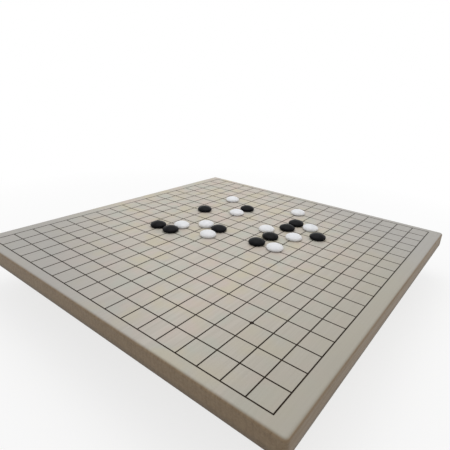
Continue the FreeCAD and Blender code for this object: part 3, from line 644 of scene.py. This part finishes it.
def well_walls(width, length):
    """The floor and the four walls of a well about the origin."""
    x = width / 2
    y = length / 2
    far_x = x + WELL_WALL
    far_y = y + WELL_WALL
    return [
        well_wall((-far_x, -far_y, -WELL_WALL), (far_x, far_y, 0)),
        well_wall((-far_x, -far_y, 0), (-x, far_y, WELL_DEPTH)),
        well_wall((x, -far_y, 0), (far_x, far_y, WELL_DEPTH)),
        well_wall((-x, -far_y, 0), (x, -y, WELL_DEPTH)),
        well_wall((-x, y, 0), (x, far_y, WELL_DEPTH)),
    ]


def dropped_stones(width, length, count):
    """Stones in loose layers over the well, each tilted a little, either way up."""
    corners, faces = turned(stone_outline(HULL_STEPS), HULL_SEGMENTS)
    mesh = bpy.data.meshes.new("dropped_stone")
    mesh.from_pydata(corners, [], faces)
    draw = random.Random(HEAP_SEED)
    across = int(width // HEAP_SPOT)
    along = int(length // HEAP_SPOT)
    stones = []
    for index in range(count):
        layer, spot = divmod(index, across * along)
        row, column = divmod(spot, across)
        stone = bpy.data.objects.new("dropped_stone", mesh)
        stone.location = (
            (column - (across - 1) / 2) * width / across + draw.uniform(-HEAP_SHIFT, HEAP_SHIFT),
            (row - (along - 1) / 2) * length / along + draw.uniform(-HEAP_SHIFT, HEAP_SHIFT),
            HEAP_START + layer * HEAP_LAYER,
        )
        stone.rotation_euler = (
            draw.gauss(0, HEAP_TILT) + draw.choice((0, math.pi)),
            draw.gauss(0, HEAP_TILT),
            draw.uniform(0, 2 * math.pi),
        )
        bpy.context.scene.collection.objects.link(stone)
        stones.append(stone)
    return stones


def make_rigid(item, kind, shape, margin):
    """Make an object a rigid body of the simulation."""
    bpy.context.view_layer.objects.active = item
    bpy.ops.rigidbody.object_add(type=kind)
    body = item.rigid_body
    body.collision_shape = shape
    body.use_margin = True
    body.collision_margin = margin
    body.friction = FRICTION
    body.restitution = BOUNCE
    body.linear_damping = LINEAR_DAMPING
    body.angular_damping = ANGULAR_DAMPING


def settled_places(width, length, count):
    """Where the dropped stones come to rest, as matrices about the middle of the well's floor."""
    scene = bpy.context.scene
    walls = well_walls(width, length)
    stones = dropped_stones(width, length, count)
    bpy.ops.rigidbody.world_add()
    world = scene.rigidbody_world
    world.substeps_per_frame = HEAP_SUBSTEPS
    world.solver_iterations = HEAP_ITERATIONS
    world.point_cache.frame_start = 1
    world.point_cache.frame_end = HEAP_FRAMES
    for wall in walls:
        make_rigid(wall, "PASSIVE", "BOX", 0.0)
    for stone in stones:
        make_rigid(stone, "ACTIVE", "CONVEX_HULL", STONE_MARGIN)
    for moment in range(1, HEAP_FRAMES + 1):
        sway = HEAP_SWAY if HEAP_SHAKEN[0] < moment < HEAP_SHAKEN[1] else 0
        sideways = (sway * math.sin(moment), sway * math.cos(HEAP_SWAY_PACE * moment))
        scene.gravity = (*sideways, -HEAP_PULL)
        scene.frame_set(moment)
    settled = bpy.context.evaluated_depsgraph_get()
    places = [stone.evaluated_get(settled).matrix_world.copy() for stone in stones]
    for item in walls + stones:
        bpy.data.objects.remove(item)
    bpy.ops.rigidbody.world_remove()
    scene.frame_set(1)
    return places


def between(first, second, axis):
    """The low and high end of the gap between two nodes along an axis."""
    ends = [corner[axis] for name in (first, second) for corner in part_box(name)]
    return sorted(ends)[1:3]


def well_ends(drawer):
    """The ends of a drawer's well for its stones, across the board and along it."""
    x_ends = between(f"{drawer}_left_side", f"{drawer}_divider", 0)
    y_ends = between(f"{drawer}_face", f"{drawer}_back", 1)
    return x_ends, y_ends


def heap(colour_name, drawer, places, side):
    """The loose stones of a drawer as one piece; a side of -1 mirrors them from left to right."""
    x_ends, y_ends = well_ends(drawer)
    floor_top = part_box(f"{drawer}_bottom")[1].z + WELL_CLEARANCE * UNIT
    middle = Vector((sum(x_ends) / 2, sum(y_ends) / 2, floor_top))
    corners, faces = turned(stone_outline(STONE_STEPS), STONE_SEGMENTS)
    all_corners = []
    all_faces = []
    for place in places:
        first = len(all_corners)
        for corner in corners:
            x, y, z = place @ corner
            all_corners.append(middle + UNIT * Vector((side * x, y, z)))
        for face in faces:
            all_faces.append([first + index for index in face[::side]])
    node = f"{colour_name}_stones_in_drawer"
    material = NODES[node].data.materials[0]
    piece = smooth_piece(f"{colour_name}_stone_heap", all_corners, all_faces, material)
    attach(piece, drawer)
    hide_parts(node)


def add_heaps():
    """Both drawers' heaps, the rear one a mirror image of the front one."""
    # Rounding keeps the last digits of the frame's boxes out of the simulation.
    sizes = [round((high - low) / UNIT, 2) for low, high in well_ends("front_drawer")]
    width, length = (size - 2 * WELL_CLEARANCE for size in sizes)
    places = settled_places(width, length, max(DRAWER_STONES.values()))
    heap("black", "front_drawer", places[: DRAWER_STONES["black"]], 1)
    heap("white", "rear_drawer", places[: DRAWER_STONES["white"]], -1)


# ---- the studio ----


def seen_directly(tree):
    """1 for rays that should see the white background: camera, mirror and clear ones."""
    path = add(tree, "ShaderNodeLightPath")
    either = maths(tree, "ADD", path.outputs["Is Camera Ray"], path.outputs["Is Glossy Ray"])
    either = maths(tree, "ADD", either, path.outputs["Is Transmission Ray"])
    return maths(tree, "MINIMUM", either, 1.0)


def add_world():
    """A white background that lights the object less than it shows."""
    world = bpy.data.worlds.new("studio")
    world.use_nodes = True
    bpy.context.scene.world = world
    tree = world.node_tree
    back = tree.nodes["Background"]
    back.inputs["Color"].default_value = (1, 1, 1, 1)
    strength = remap(tree, seen_directly(tree), (0.0, 1.0), (AMBIENT, 1.0))
    feed(tree, strength, back.inputs["Strength"])


def add_floor():
    """A pale floor that keeps the object's shadow and runs out into the white backdrop."""
    bpy.ops.mesh.primitive_circle_add(
        vertices=FLOOR_SIDES, radius=FLOOR_RADIUS, fill_type="NGON"
    )
    floor = bpy.context.object
    floor.name = "floor"
    material, tree, shader = new_material("floor_finish")
    direct = seen_directly(tree)
    shader.inputs["Roughness"].default_value = 1.0
    shader.inputs["Specular IOR Level"].default_value = 0.0
    base = mix(tree, direct, colour(FLOOR_BOUNCE), colour(FLOOR_WHITE))
    feed(tree, base, shader.inputs["Base Color"])
    reach = vector_maths(tree, "LENGTH", object_place(tree)).outputs["Value"]
    fade = maths(tree, "MULTIPLY", remap(tree, reach, FLOOR_FADE, (FLOOR_GLOW, 1.0)), direct)
    glow = add(tree, "ShaderNodeEmission", {"Color": (1, 1, 1, 1), "Strength": 1.0})
    surfaces = {0: fade, 1: shader.outputs["BSDF"], 2: glow.outputs["Emission"]}
    both = add(tree, "ShaderNodeMixShader", surfaces)
    feed(tree, both.outputs["Shader"], tree.nodes["Material Output"].inputs["Surface"])
    floor.data.materials.append(material)


def add_light():
    """One soft box above, turned towards the middle of the floor under the board."""
    lamp = bpy.data.lights.new("softbox", "AREA")
    lamp.shape = "SQUARE"
    lamp.size = SOFTBOX_SIZE
    lamp.energy = SOFTBOX_POWER
    softbox = bpy.data.objects.new("softbox", lamp)
    softbox.location = SOFTBOX_AT
    softbox.rotation_euler = (-Vector(SOFTBOX_AT)).to_track_quat("-Z", "Y").to_euler()
    bpy.context.scene.collection.objects.link(softbox)


def add_camera():
    """The photo's camera, as fitted to the lines on the board."""
    data = bpy.data.cameras.new("camera")
    data.lens = CAMERA_LENS
    data.sensor_width = CAMERA_SENSOR
    data.clip_start, data.clip_end = CAMERA_CLIP
    camera = bpy.data.objects.new("camera", data)
    camera.location = CAMERA_AT
    camera.rotation_euler = [math.radians(angle) for angle in CAMERA_TURN]
    bpy.context.scene.collection.objects.link(camera)
    bpy.context.scene.camera = camera


bpy.context.scene.view_settings.view_transform = "Standard"
add_camera()
add_world()
add_light()
add_floor()
paint_object()
add_knobs()
add_heaps()
